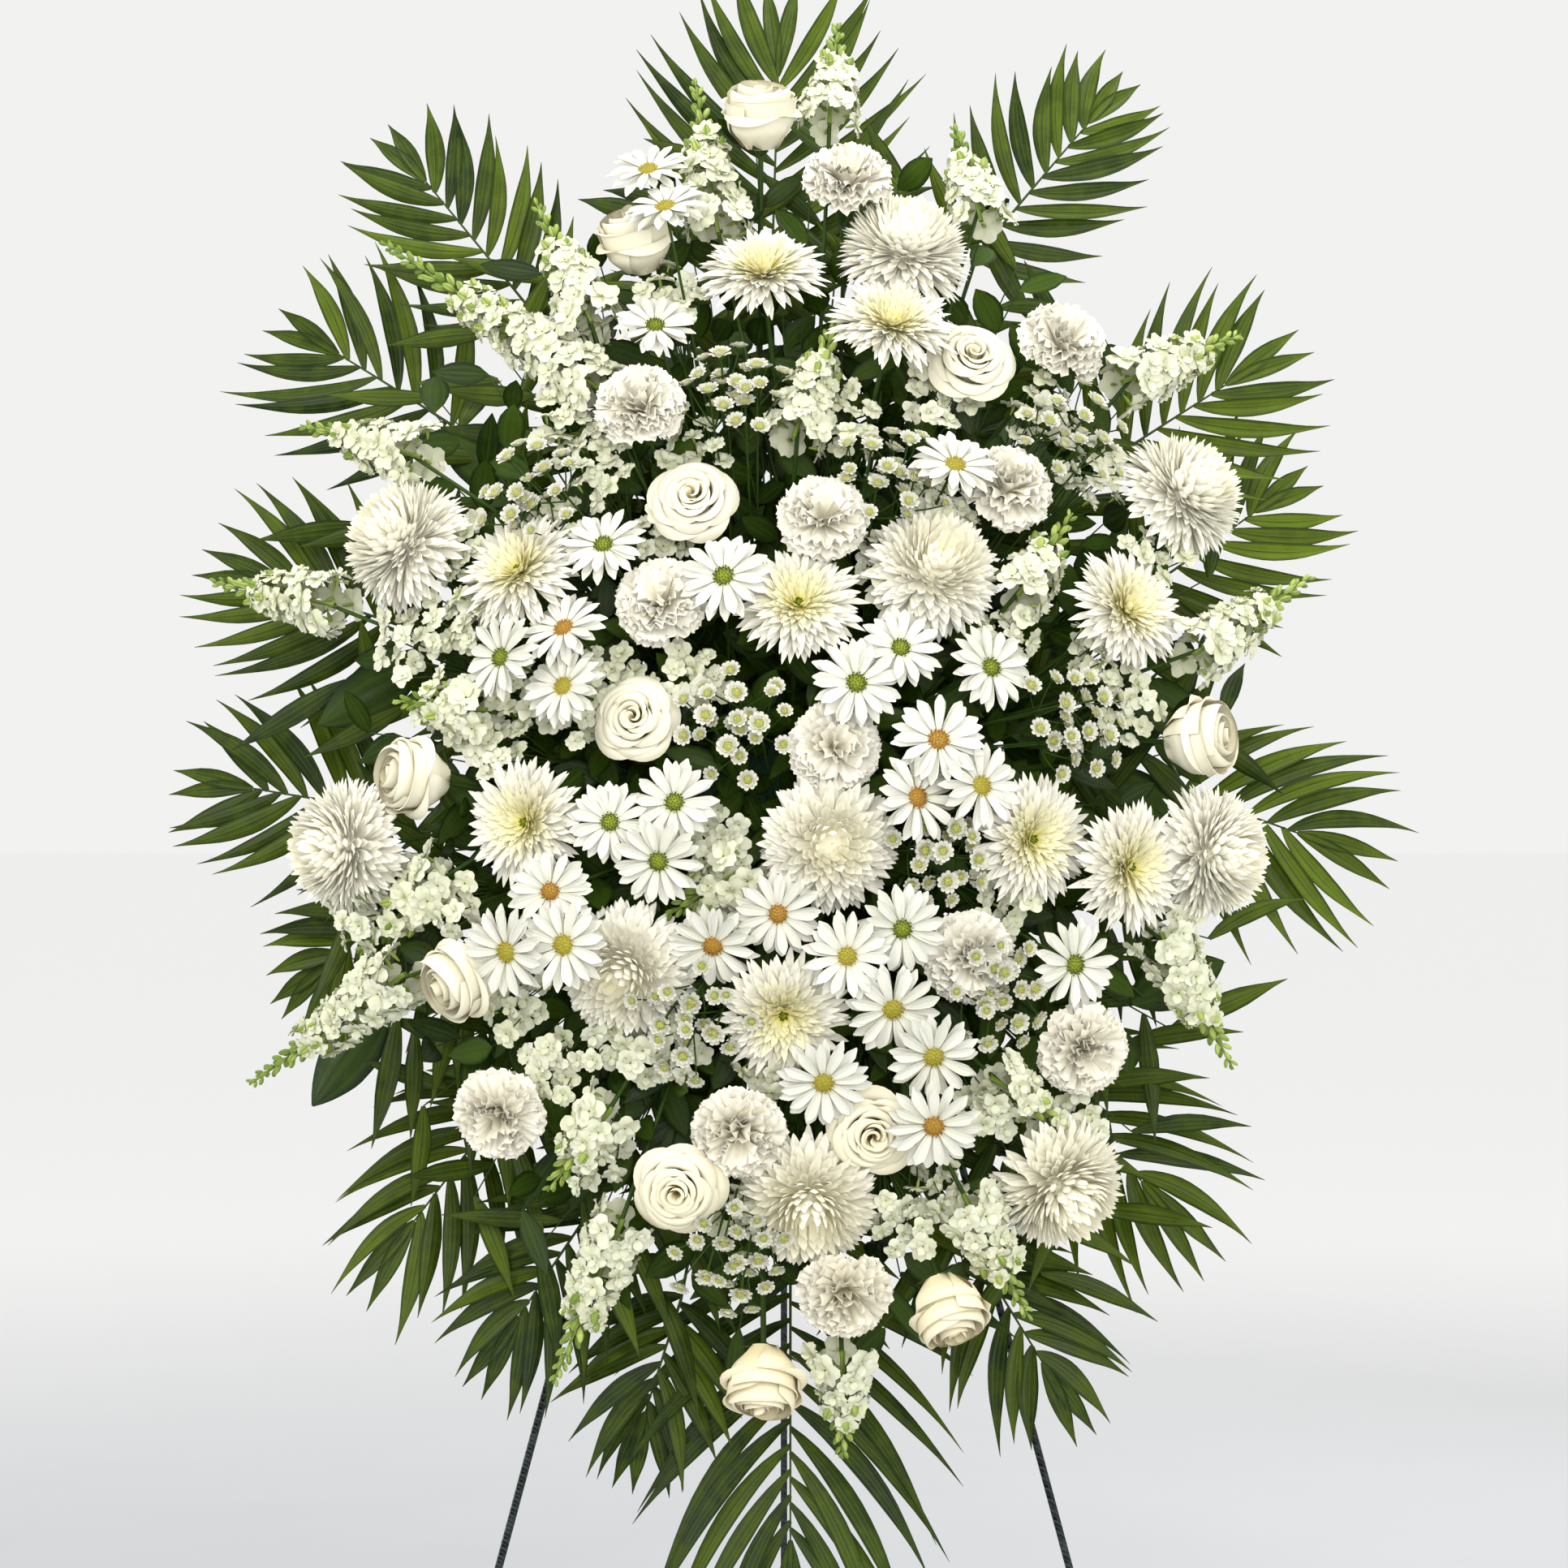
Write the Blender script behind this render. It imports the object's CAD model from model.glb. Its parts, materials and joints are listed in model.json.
"""A standing spray of white flowers and palm on a folding wire easel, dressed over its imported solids."""
import json
import math

import bpy
import numpy as np
from mathutils import Matrix, Vector

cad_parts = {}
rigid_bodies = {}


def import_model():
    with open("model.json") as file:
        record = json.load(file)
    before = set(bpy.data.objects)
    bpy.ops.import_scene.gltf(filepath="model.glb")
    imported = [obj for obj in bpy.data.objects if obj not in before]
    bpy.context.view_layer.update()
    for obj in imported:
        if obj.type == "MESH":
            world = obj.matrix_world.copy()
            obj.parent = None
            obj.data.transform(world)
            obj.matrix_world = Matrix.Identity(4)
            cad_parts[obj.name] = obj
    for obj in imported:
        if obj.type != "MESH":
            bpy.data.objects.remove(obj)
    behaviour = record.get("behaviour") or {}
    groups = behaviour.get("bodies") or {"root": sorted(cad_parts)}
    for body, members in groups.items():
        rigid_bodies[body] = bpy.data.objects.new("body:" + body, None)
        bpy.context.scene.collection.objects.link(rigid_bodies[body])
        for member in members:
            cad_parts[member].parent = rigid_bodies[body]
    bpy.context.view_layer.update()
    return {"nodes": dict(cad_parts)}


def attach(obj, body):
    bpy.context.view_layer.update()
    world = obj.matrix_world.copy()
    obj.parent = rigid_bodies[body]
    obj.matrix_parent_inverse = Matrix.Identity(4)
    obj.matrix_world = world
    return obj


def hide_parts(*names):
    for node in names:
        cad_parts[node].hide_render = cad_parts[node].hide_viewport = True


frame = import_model()

FRAME_BODY = "spray_and_front_frame"
LEG_BODY = "back_leg"
GOLDEN = math.radians(137.508)
CM = 0.01

# The easel and the foam, as the solids have them
LEAN = math.radians(11)
FOOT_Y = -0.272
FOAM_UP = 1.11
FOAM_HALF_WIDTH = 0.10
FOAM_HALF_HEIGHT = 0.17
FOAM_FRONT = 0.123
HOOP_PITCH = 2 * FOAM_HALF_HEIGHT / 6
STEM_IN = 0.022
STEM_OUT = 0.012

# The front view: centimetres from the spray's middle, on the plane where it has its true scale
MIDDLE_UP = 1.131
FACE_Y = -0.26
EYE = 3.0
VIEW_WIDTH = 1.217
RIM_DEPTH = 0.125
CROWN_DEPTH = 0.285

# Blooms: radius, share of it that keeps others away, distance to its base, stem radius
ROSE = (0.036, 0.86, 0.026, 0.0022)
FOOTBALL = (0.047, 0.88, 0.036, 0.0022)
DISBUD = (0.048, 0.80, 0.020, 0.0021)
CARNATION = (0.036, 0.84, 0.034, 0.0018)
DAISY = (0.031, 0.74, 0.005, 0.0012)
BUTTON = (0.0085, 0.95, 0.005, 0.0009)
SPIKE_RADIUS = 0.031
TRUNK_RADIUS = 0.0016

ROSES = (
    ((-1, 51.5), (-12.5, 41.5)),
    ((-7, 22), (-11.5, 5)),
    ((14, 33), (32, 3.5)),
    ((-28.5, 0.5), (-26, -14.5)),
    ((-8.5, -31.5), (-0.5, -46)),
    ((6.5, -28), (13.5, -39.5)),
)
FOOTBALLS = (
    ((9.5, 41.5), (12, 16.5)),
    ((-29.5, 19), (-34, -5)),
    ((31, 22.5), (33, -5.5)),
    ((3.5, -4.5), (-12.5, -14.5)),
    ((3, -32), (20.5, -31.5)),
)
DISBUDS = (
    ((-2, 40), (7, 35)),
    ((-20.5, 16.5), (-20, -3)),
    ((26.5, 13.5), (26.5, -7), (20, -4.5)),
    ((1, 14), (0, -18)),
)
CARNATIONS = (
    ((5, 46.5), (21.5, 34)),
    ((-12, 29.5), (-9.5, 14)),
    ((3, 20.5), (17, 23)),
    ((4, 3), (14.5, -13.5), (23, -20.5)),
    ((-4, -27.5), (4.5, -39), (-22, -25.5)),
)
DAISIES = (
    ((-9.5, 44), (-10.5, 47.5), (-10, 35.5)),
    ((-14, 18.5), (-4.5, 16), (-17, 11.5), (-22, 9.5), (-17, 8)),
    ((-8.5, -1.5), (-13.5, -3), (-9.5, -6), (-18, -9), (-17.5, -12), (-21, -13)),
    ((13.5, 24.5), (5.5, 7.5), (9, 10.5), (16, 9)),
    ((12, 2.5), (10.5, -0.5), (15, 0), (22.5, -14)),
    ((-0.5, -10), (-5.5, -12.5), (8.5, -11.5), (5.5, -13), (8.5, -17.5), (11.5, -21), (11, -26.5), (3, -23)),
)
# Spikes of stock and snapdragon: where the lowest floret is, and the tip
SPIKES = (
    (((-14.5, 31), (-30, 41.5)), ((-29, 25.5), (-36.5, 27.5)), ((-14.5, 37), (-18, 44.5))),
    (((-35.5, 14), (-43.5, 15.5)), ((-24, 6), (-29, 6.5)), ((-27, -9), (-32, -13.5))),
    (((-29.5, -14), (-40, -21.5)), ((-12.5, -34.5), (-17, -45)), ((-14, -26), (-17.5, -30.5))),
    (((-5, 43.5), (-6.5, 53.5)), ((3, 52), (3.5, 58)), ((15, 44.5), (13.5, 50)), ((2, 28), (5, 36))),
    (((27, 31.5), (34.5, 34.5)), ((32.5, 10.5), (40, 15.5)), ((18.5, 15.5), (21.5, 20)), ((29.5, -12), (34, -20.5))),
    (((14.5, -33), (18.5, -40.5)), ((17, -23.5), (21, -26)), ((4, -45), (4, -51)), ((-4, -7), (-8, -9.5))),
)
# Clusters of button poms, by their middle
BUTTONS = (
    ((-4, 31.5), (-20.5, 23.5)),
    ((23, 28), (23.5, 5), (8.5, 25)),
    ((-4, 5), (-7.5, -19), (13, -5.5)),
    ((17.5, -16.5), (-4, -37.5)),
)
BUTTONS_IN_CLUSTER = 4

# Large plain leaves: where the stalk meets the blade, and the tip
LEAVES = (
    (((-19, 21.5), (-27, 28.5)), ((-28.5, 9), (-36, 5.5)), ((-31, -17.5), (-36.5, -24))),
    (((14.5, 27.5), (24, 37)), ((24, 1), (32, -3.5)), ((27, -17), (34, -13))),
)
LEAF_WIDTH = 0.046

# Short palm sprigs behind the blooms at the rim, by their tips
PALM_SPRIGS = ((24, -33), (20, -38), (27, -27), (15, -36), (-24, -32), (-19, -36), (-28, -25), (-10, -39), (9, -38),
               (-10, 44), (10, 45), (-4, 47), (5, 48), (-18, 39), (18, 40), (-27, 30), (26, 29), (-32, 20), (33, 16),
               (-34, 8), (34, 5), (-33, -9), (33, -12), (-30, -18), (30, -19), (-23, 35), (22, 34), (-13, -33))

# Small white fillers, by the middle of each cluster
WHITES = ((-14.5, 24.5), (-17, 28), (-7, 26), (-13, -20), (-21, -17), (12, -32), (8, 17), (-29.5, 11), (-25.5, 12.5), (-26, 6), (-22.5, 3), (-5, -4.5), (-3.5, -8.5), (-31.5, -7), (-33, -10.5),
          (-13, 8), (12, 21), (-24, 18),
          (-18.5, 20), (-16, 36), (-9, 38), (-20, 6.5), (-15, 5.5), (-7, 8), (20, 29), (24, 24), (17, 11), (24.5, 10),
          (-9, 20), (-5, -9), (27, 6), (-26, -9.5), (-9, -21), (16, -25), (22, -26), (-15, -29), (-18, -22), (9, -34),
          (28.5, 18), (5, 28), (-24, 13), (12, 30), (17, -9), (-1, -22), (-3, -33), (30, -11))

# Palm fronds: first leaflets, last leaflets, leaflet length, depth layer, curl toward the back at the end
FRONDS = (
    ((-1, 38), (-0.5, 54.5), 0.118, 1, 0.03),
    ((15, 41), (23.5, 51.5), 0.080, 0, 0.05),
    ((25, 25), (33.5, 30.5), 0.095, 2, 0.01),
    ((28, 15), (36.5, 21), 0.090, 0, 0.05),
    ((29, 0), (39.3, -3.5), 0.100, 1, 0.03),
    ((18, -20), (27, -30), 0.098, 0, 0.0),
    ((14, -35), (19.5, -44), 0.075, 2, 0.01),
    ((0.5, -38), (0.5, -57.5), 0.130, 0, 0.0),
    ((-8, -40), (-10.5, -48), 0.070, 1, 0.02),
    ((-15, -33), (-20, -40.5), 0.075, 2, 0.01),
    ((-18, -20), (-28, -33), 0.085, 0, 0.0),
    ((-28, -8), (-35, -13.5), 0.065, 1, 0.03),
    ((-31, -2), (-40.7, -0.5), 0.086, 0, 0.03),
    ((-29, 12), (-37.5, 15), 0.095, 2, 0.01),
    ((-26, 28), (-34.5, 33.5), 0.098, 0, 0.05),
    ((-19, 36), (-27.5, 46.5), 0.080, 1, 0.03),
)
FROND_DEPTHS = (0.014, 0.036, 0.058)
FROND_ROOTS = (0.030, 0.047, 0.064)
RIB_RADIUS = 0.0021

SEAT = Matrix.Translation((0, FOOT_Y, 0)) @ Matrix.Rotation(-LEAN, 4, "X")


def seat(x, up, ahead):
    """A world point from the leaning frame: across, along the legs, and in front of their plane."""
    return SEAT @ Vector((x, -ahead, up))


def spot(place, depth):
    """The world point that the front view shows at a place, this far in front of the leaning easel."""
    x, z = place[0] * CM, place[1] * CM
    y = FOOT_Y + (MIDDLE_UP + z) * math.tan(LEAN) - depth
    near = 1 + (y - FACE_Y) / EYE
    return Vector((x * near, y, MIDDLE_UP + z * near))


def dome(place):
    """Depth of the rounded front of the spray at a place of the front view."""
    fall = 1 - (place[0] / 44) ** 2 - ((place[1] - 3) / 60) ** 2
    return RIM_DEPTH + (CROWN_DEPTH - RIM_DEPTH) * math.sqrt(max(fall, 0))


HEART = seat(0, FOAM_UP, 0.068)
FORWARD = Vector((0, -1, 0.1)).normalized()


def facing(point, share=0.6):
    """Blooms look out from the foam's middle, and partly straight forward."""
    return ((point - HEART).normalized() * share + FORWARD * (1 - share)).normalized()


# Camera and light first, so that a view can be made of any stage of the work

def make_camera():
    data = bpy.data.cameras.new("front camera")
    data.sensor_fit = "HORIZONTAL"
    data.angle = 2 * math.atan(VIEW_WIDTH / 2 / EYE)
    camera = bpy.data.objects.new("front camera", data)
    camera.location = (0, FACE_Y - EYE, MIDDLE_UP)
    camera.rotation_euler = (math.radians(90), 0, 0)
    bpy.context.scene.collection.objects.link(camera)
    bpy.context.scene.camera = camera


def make_light(name, place, aim, size, energy, colour):
    data = bpy.data.lights.new(name, "AREA")
    data.shape = "DISK"
    data.size = size
    data.energy = energy
    data.color = colour
    light = bpy.data.objects.new(name, data)
    light.location = place
    light.rotation_euler = (Vector(aim) - Vector(place)).to_track_quat("-Z", "Y").to_euler()
    bpy.context.scene.collection.objects.link(light)


def make_studio():
    world = bpy.data.worlds.new("studio")
    world.use_nodes = True
    back = world.node_tree.nodes["Background"]
    back.inputs["Color"].default_value = (0.955, 0.952, 0.945, 1)
    back.inputs["Strength"].default_value = 0.93
    bpy.context.scene.view_settings.view_transform = "Standard"
    bpy.context.scene.world = world
    make_light("window", (-2.4, -3.2, 3.0), (0, -0.1, 1.1), 1.3, 60, (1.0, 0.985, 0.95))
    make_light("front", (0.4, -3.6, 1.7), (0, -0.1, 1.1), 2.0, 52, (1.0, 0.985, 0.95))
    make_light("right fill", (2.8, -2.4, 1.8), (0, -0.1, 1.0), 2.4, 18, (0.96, 0.98, 1.0))
    make_light("top", (0.3, -0.6, 3.6), (0, -0.2, 1.2), 1.4, 32, (1.0, 1.0, 1.0))
    make_light("behind", (1.6, 2.6, 2.4), (0, 0, 1.1), 2.0, 30, (1.0, 1.0, 1.0))


# Materials

def open_group(name, inputs, outputs):
    """A node group with named inputs and outputs; gives it with its two end nodes."""
    tree = bpy.data.node_groups.new(name, "ShaderNodeTree")
    for label, kind, value in inputs:
        socket = tree.interface.new_socket(label, in_out="INPUT", socket_type=kind)
        socket.default_value = value
    for label, kind in outputs:
        tree.interface.new_socket(label, in_out="OUTPUT", socket_type=kind)
    return tree, tree.nodes.new("NodeGroupInput"), tree.nodes.new("NodeGroupOutput")


class Nodes:
    """Short ways to add nodes to one tree and wire them."""

    def __init__(self, tree):
        self.tree = tree

    def wire(self, source, socket):
        if hasattr(source, "is_linked"):
            self.tree.links.new(source, socket)
        else:
            socket.default_value = source

    def maths(self, operation, first, second=0.0, clamp=False):
        node = self.tree.nodes.new("ShaderNodeMath")
        node.operation = operation
        node.use_clamp = clamp
        self.wire(first, node.inputs[0])
        self.wire(second, node.inputs[1])
        return node.outputs[0]

    def mix(self, share, first, second):
        node = self.tree.nodes.new("ShaderNodeMix")
        node.data_type = "RGBA"
        self.wire(share, node.inputs["Factor"])
        self.wire(first, node.inputs[6])
        self.wire(second, node.inputs[7])
        return node.outputs[2]

    def coords(self, layer):
        """Across and along, or the two tones, of a sheet's own layer of coordinates."""
        node = self.tree.nodes.new("ShaderNodeUVMap")
        node.uv_map = layer
        parts = self.tree.nodes.new("ShaderNodeSeparateXYZ")
        self.tree.links.new(node.outputs["UV"], parts.inputs[0])
        return parts.outputs[0], parts.outputs[1]

    def noise(self, scale, detail=3.0, roughness=0.55):
        where = self.tree.nodes.new("ShaderNodeTexCoord")
        node = self.tree.nodes.new("ShaderNodeTexNoise")
        node.inputs["Detail"].default_value = detail
        node.inputs["Roughness"].default_value = roughness
        self.wire(scale, node.inputs["Scale"])
        self.tree.links.new(where.outputs["Object"], node.inputs["Vector"])
        return node.outputs["Fac"]

    def ramp(self, value, low, high):
        node = self.tree.nodes.new("ShaderNodeMapRange")
        node.interpolation_type = "SMOOTHSTEP"
        self.wire(value, node.inputs["Value"])
        self.wire(low, node.inputs["From Min"])
        self.wire(high, node.inputs["From Max"])
        return node.outputs[0]


def petal_group():
    """Colour and relief of a petal: heart colour at its base, fine lines along it, a tone of its own."""
    tree, ins, outs = open_group("petal surface", (
        ("Petal", "NodeSocketColor", (0.86, 0.86, 0.82, 1)),
        ("Heart", "NodeSocketColor", (0.80, 0.80, 0.42, 1)),
        ("Shade", "NodeSocketColor", (0.66, 0.70, 0.60, 1)),
        ("Lines", "NodeSocketFloat", 9.0),
    ), (("Color", "NodeSocketColor"), ("Height", "NodeSocketFloat")))
    nodes = Nodes(tree)
    across, along = nodes.coords("sheet")
    warm, shade = nodes.coords("tone")
    base = nodes.ramp(along, 0.75, 0.0)
    hearted = nodes.maths("MULTIPLY", warm, nodes.maths("ADD", 0.35, nodes.maths("MULTIPLY", base, 0.65)), True)
    rooted = nodes.maths("MULTIPLY", nodes.ramp(along, 0.42, 0.0), 0.55)
    tinted = nodes.maths("MAXIMUM", rooted, nodes.maths("MULTIPLY", shade, 0.30))
    colour = nodes.mix(tinted, ins.outputs["Petal"], ins.outputs["Shade"])
    colour = nodes.mix(hearted, colour, ins.outputs["Heart"])
    waves = nodes.maths("SINE", nodes.maths("MULTIPLY", nodes.maths("MULTIPLY", across, ins.outputs["Lines"]), math.tau))
    grain = nodes.noise(900.0, 2.0)
    height = nodes.maths("ADD", nodes.maths("MULTIPLY", waves, 0.5), grain)
    tree.links.new(colour, outs.inputs["Color"])
    tree.links.new(height, outs.inputs["Height"])
    return tree


def leaf_group():
    """Colour, gloss and relief of a leaf: parallel veins, a paler midrib, blotches, and a tone for each leaf."""
    tree, ins, outs = open_group("leaf surface", (
        ("Dark", "NodeSocketColor", (0.018, 0.055, 0.014, 1)),
        ("Light", "NodeSocketColor", (0.09, 0.20, 0.035, 1)),
        ("Rib", "NodeSocketColor", (0.16, 0.27, 0.09, 1)),
        ("Veins", "NodeSocketFloat", 9.0),
    ), (("Color", "NodeSocketColor"), ("Roughness", "NodeSocketFloat"), ("Height", "NodeSocketFloat")))
    nodes = Nodes(tree)
    across, along = nodes.coords("sheet")
    light, shade = nodes.coords("tone")
    blotch = nodes.ramp(nodes.noise(45.0, 4.0), 0.35, 0.7)
    waves = nodes.maths("SINE", nodes.maths("MULTIPLY", nodes.maths("MULTIPLY", across, ins.outputs["Veins"]), math.tau))
    veins = nodes.maths("MULTIPLY", nodes.ramp(waves, 0.2, 1.0), 0.16)
    tone = nodes.maths("ADD", nodes.maths("MULTIPLY", light, 0.85), nodes.maths("MULTIPLY", blotch, 0.22))
    tone = nodes.maths("ADD", tone, veins, True)
    colour = nodes.mix(tone, ins.outputs["Dark"], ins.outputs["Light"])
    off_middle = nodes.maths("ABSOLUTE", nodes.maths("SUBTRACT", across, 0.5))
    rib = nodes.maths("MULTIPLY", nodes.ramp(off_middle, 0.055, 0.01), nodes.ramp(along, 1.0, 0.35))
    colour = nodes.mix(nodes.maths("MULTIPLY", rib, 0.75), colour, ins.outputs["Rib"])
    edge = nodes.maths("MULTIPLY", nodes.ramp(off_middle, 0.30, 0.5), 0.80)
    colour = nodes.mix(edge, colour, ins.outputs["Dark"])
    rough = nodes.maths("ADD", 0.36, nodes.maths("MULTIPLY", blotch, 0.18))
    height = nodes.maths("ADD", nodes.maths("MULTIPLY", waves, 0.4), nodes.maths("MULTIPLY", shade, 0.0))
    tree.links.new(colour, outs.inputs["Color"])
    tree.links.new(rough, outs.inputs["Roughness"])
    tree.links.new(height, outs.inputs["Height"])
    return tree


def speckle_group():
    """Mottling of a made surface: two colours, a roughness that follows them, and a fine relief."""
    tree, ins, outs = open_group("made surface", (
        ("Colour", "NodeSocketColor", (0.02, 0.03, 0.02, 1)),
        ("Worn", "NodeSocketColor", (0.06, 0.08, 0.06, 1)),
        ("Scale", "NodeSocketFloat", 60.0),
        ("Grain", "NodeSocketFloat", 700.0),
        ("Dull", "NodeSocketFloat", 0.5),
        ("Twist", "NodeSocketFloat", 0.0),
    ), (("Color", "NodeSocketColor"), ("Roughness", "NodeSocketFloat"), ("Height", "NodeSocketFloat")))
    nodes = Nodes(tree)
    mottle = nodes.ramp(nodes.noise(ins.outputs["Scale"], 5.0), 0.42, 0.72)
    grain = nodes.noise(ins.outputs["Grain"], 2.0)
    where = tree.nodes.new("ShaderNodeTexCoord")
    parts = tree.nodes.new("ShaderNodeSeparateXYZ")
    tree.links.new(where.outputs["Object"], parts.inputs[0])
    aside = nodes.maths("MULTIPLY", nodes.maths("ADD", parts.outputs[0], parts.outputs[1]), 75.0)
    turns = nodes.maths("ADD", nodes.maths("MULTIPLY", parts.outputs[2], 125.0), aside)
    ridge = nodes.maths("MULTIPLY", nodes.maths("SINE", nodes.maths("MULTIPLY", turns, math.tau)), ins.outputs["Twist"])
    lit = nodes.maths("MAXIMUM", mottle, nodes.maths("MULTIPLY", nodes.ramp(ridge, 0.35, 1.0), 0.8))
    grain = nodes.maths("ADD", nodes.maths("MULTIPLY", grain, 0.2), ridge)
    tree.links.new(nodes.mix(lit, ins.outputs["Colour"], ins.outputs["Worn"]), outs.inputs["Color"])
    tree.links.new(nodes.maths("ADD", ins.outputs["Dull"], nodes.maths("MULTIPLY", mottle, 0.15)), outs.inputs["Roughness"])
    tree.links.new(grain, outs.inputs["Height"])
    return tree


def finish_of(name, group, values, relief, settings):
    """A Principled material fed by one surface group."""
    material = bpy.data.materials.new(name)
    material.use_nodes = True
    tree = material.node_tree
    shader = tree.nodes["Principled BSDF"]
    surface = tree.nodes.new("ShaderNodeGroup")
    surface.node_tree = group
    for label, value in values.items():
        surface.inputs[label].default_value = value
    tree.links.new(surface.outputs["Color"], shader.inputs["Base Color"])
    if "Roughness" in surface.outputs:
        tree.links.new(surface.outputs["Roughness"], shader.inputs["Roughness"])
    bump = tree.nodes.new("ShaderNodeBump")
    bump.inputs["Strength"].default_value = relief[0]
    bump.inputs["Distance"].default_value = relief[1]
    tree.links.new(surface.outputs["Height"], bump.inputs["Height"])
    tree.links.new(bump.outputs["Normal"], shader.inputs["Normal"])
    for label, value in settings.items():
        shader.inputs[label].default_value = value
    return material


def rgb(red, green, blue):
    return (red, green, blue, 1)


def make_finishes():
    petal, leaf, made = petal_group(), leaf_group(), speckle_group()
    soft = {"Roughness": 0.60, "Specular IOR Level": 0.25, "Subsurface Weight": 0.08, "Subsurface Scale": 0.008,
            "Subsurface Radius": (1.0, 0.95, 0.75)}

    def petals(name, body, heart, shade, lines=9.0, relief=0.25):
        return finish_of(name, petal, {"Petal": body, "Heart": heart, "Shade": shade, "Lines": lines},
                         (relief, 0.0004), soft)

    def leaves(name, dark, light, rib, veins=9.0):
        return finish_of(name, leaf, {"Dark": dark, "Light": light, "Rib": rib, "Veins": veins}, (0.35, 0.0004),
                         {"Specular IOR Level": 0.14})

    return {
        "rose": petals("rose petal", rgb(0.80, 0.765, 0.61), rgb(0.86, 0.73, 0.40), rgb(0.83, 0.77, 0.54), 3.0, 0.06),
        "football": petals("football mum petal", rgb(0.98, 0.965, 0.88), rgb(0.97, 0.91, 0.62), rgb(0.97, 0.94, 0.78), 2.0),
        "disbud": petals("disbud mum petal", rgb(0.82, 0.805, 0.72), rgb(0.88, 0.80, 0.20), rgb(0.82, 0.79, 0.64), 2.0),
        "carnation": petals("carnation petal", rgb(0.89, 0.87, 0.785), rgb(0.90, 0.82, 0.59), rgb(0.90, 0.86, 0.68), 6.0, 0.15),
        "daisy": petals("daisy petal", rgb(0.72, 0.71, 0.655), rgb(0.66, 0.67, 0.35), rgb(0.50, 0.52, 0.38), 3.0, 0.5),
        "stock": petals("stock floret", rgb(0.74, 0.74, 0.61), rgb(0.60, 0.65, 0.24), rgb(0.50, 0.55, 0.31), 4.0, 0.12),
        "green eye": petals("green daisy eye", rgb(0.11, 0.16, 0.012), rgb(0.34, 0.38, 0.035), rgb(0.05, 0.08, 0.008)),
        "yellow eye": petals("yellow daisy eye", rgb(0.48, 0.38, 0.045), rgb(0.36, 0.36, 0.05), rgb(0.30, 0.24, 0.03)),
        "brown eye": petals("brown daisy eye", rgb(0.46, 0.22, 0.03), rgb(0.44, 0.30, 0.05), rgb(0.20, 0.075, 0.015)),
        "button eye": petals("button pom eye", rgb(0.54, 0.55, 0.16), rgb(0.42, 0.46, 0.10), rgb(0.40, 0.43, 0.12)),
        "bud": leaves("green bud", rgb(0.10, 0.18, 0.02), rgb(0.42, 0.50, 0.13), rgb(0.38, 0.46, 0.14), 3.0),
        "palm": leaves("palm leaflet", rgb(0.008, 0.020, 0.002), rgb(0.125, 0.185, 0.008), rgb(0.014, 0.03, 0.004), 4.0),
        "rib": leaves("palm rib", rgb(0.012, 0.028, 0.006), rgb(0.07, 0.11, 0.02), rgb(0.03, 0.06, 0.02), 2.0),
        "leaf": leaves("large leaf", rgb(0.005, 0.014, 0.002), rgb(0.050, 0.095, 0.007), rgb(0.04, 0.07, 0.010), 4.0),
        "stem": leaves("stem", rgb(0.014, 0.036, 0.005), rgb(0.06, 0.11, 0.014), rgb(0.05, 0.09, 0.015), 2.0),
        "easel": finish_of("easel paint", made, {
            "Colour": rgb(0.003, 0.006, 0.005), "Worn": rgb(0.030, 0.046, 0.042), "Scale": 90.0, "Grain": 500.0,
            "Dull": 0.38, "Twist": 1.0}, (1.0, 0.0012), {"Specular IOR Level": 0.35}),
        "cage": finish_of("cage plastic", made, {
            "Colour": rgb(0.012, 0.06, 0.03), "Worn": rgb(0.02, 0.085, 0.04), "Scale": 40.0, "Grain": 1200.0,
            "Dull": 0.42}, (0.15, 0.0002), {}),
        "foam": finish_of("wet foam", made, {
            "Colour": rgb(0.016, 0.065, 0.032), "Worn": rgb(0.035, 0.12, 0.055), "Scale": 120.0, "Grain": 1500.0,
            "Dull": 0.75}, (0.6, 0.0012), {}),
    }


# Sheets: petals and leaves as grids of points

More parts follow.
